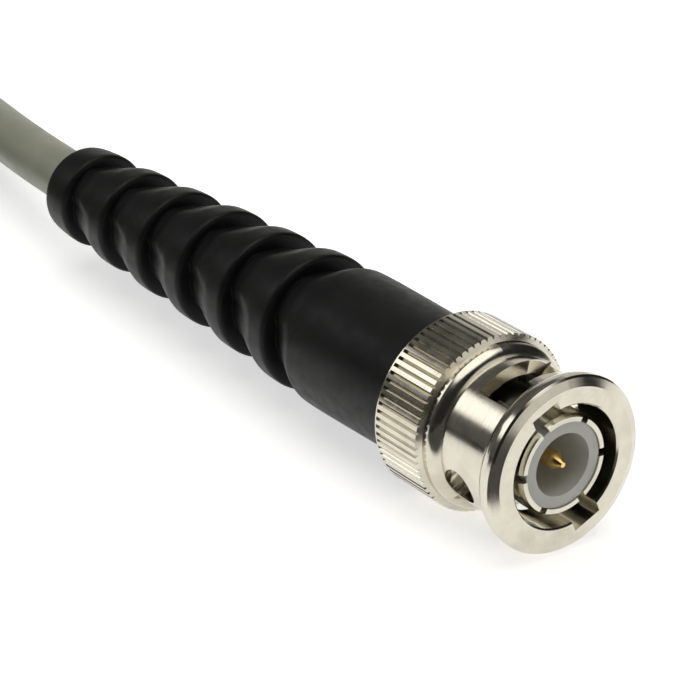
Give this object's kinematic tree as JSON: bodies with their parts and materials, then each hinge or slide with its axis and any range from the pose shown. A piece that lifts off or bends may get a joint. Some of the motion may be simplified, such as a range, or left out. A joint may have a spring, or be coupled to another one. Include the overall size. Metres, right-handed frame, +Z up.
{
  "type": "oscilloscope probe",
  "caption": "Passive test probe: a bayonet coaxial plug with a ribbed cable boot, a put-away coil of round cable, and a handle with a sprung hook tip.",
  "frame": {"origin": "Centre of the bayonet interface: on the plug's axis, in the plane of the coupling nut's front face.", "axes": "+X is the plug's axis, out of its mating face. +Z is up as the probe lies. +Y completes a right-handed frame."},
  "size_m": [0.1606, 0.0791, 0.0172],
  "materials": {
    "nickel": "satin",
    "gold": "polished",
    "steel": "satin",
    "gasket": "matte",
    "dielectric": "matte",
    "boot_rubber": "matte",
    "cable_jacket": "satin",
    "copper": "bright",
    "strap": "matte",
    "handle_plastic": "matte",
    "hook_plastic": "satin",
    "knob_plastic": "gloss",
    "board": "satin",
    "ceramic": "satin"
  },
  "bodies": {
    "probe": {"outer_contact": "nickel", "wave_washer": "steel", "face_gasket": "gasket", "front_insulator": "dielectric", "rear_insulator": "dielectric", "centre_pin": "gold", "plug_body": "nickel", "plug_end_braid": "copper", "crimp_ferrule": "nickel", "plug_end_dielectric": "dielectric", "plug_end_conductor": "copper", "plug_end_jacket": "cable_jacket", "plug_boot": "boot_rubber", "cable_lead": "cable_jacket", "cable_coil": "cable_jacket", "cable_tail": "cable_jacket", "coil_tie": "strap", "head_boot": "boot_rubber", "head_end_jacket": "cable_jacket", "head_end_dielectric": "dielectric", "head_end_conductor": "copper", "handle": "handle_plastic", "shield_tube": "nickel", "circuit_board": "board", "input_resistor": "ceramic", "switch_body": "handle_plastic", "trimmer_body": "ceramic", "finger_guard": "handle_plastic", "tip_barrel": "nickel", "tip_insulator": "dielectric", "tip_needle": "steel", "hook_body": "hook_plastic", "hook_wire": "steel", "hook_spring": "steel"},
    "thrust_washer": {"thrust_washer": "steel"},
    "coupling_nut": {"coupling_nut": "nickel"},
    "switch_knob": {"switch_knob": "knob_plastic"},
    "trimmer_screw": {"trimmer_screw": "gold"},
    "hook_sleeve": {"hook_sleeve": "hook_plastic"}
  },
  "joints": [
    {"name": "nut_draw", "type": "slide", "parent": "probe", "child": "thrust_washer", "axis": [1, 0, 0], "range_m": [0, 0.00035], "stiffness_N_per_m": 1500, "deforming": ["wave_washer"]},
    {"name": "nut_turn", "type": "hinge", "parent": "thrust_washer", "child": "coupling_nut", "pos_m": [0, 0, 0], "axis": [1, 0, 0], "continuous": true},
    {"name": "switch_slide", "type": "slide", "parent": "probe", "child": "switch_knob", "axis": [1, 0, 0], "range_m": [0, 0.003]},
    {"name": "trimmer_turn", "type": "hinge", "parent": "probe", "child": "trimmer_screw", "pos_m": [-0.042, -0.0605, 0], "axis": [0, 0, 1], "continuous": true},
    {"name": "hook_retract", "type": "slide", "parent": "probe", "child": "hook_sleeve", "axis": [-1, 0, 0], "range_m": [0, 0.006], "stiffness_N_per_m": 300, "deforming": ["hook_spring"]}
  ]
}
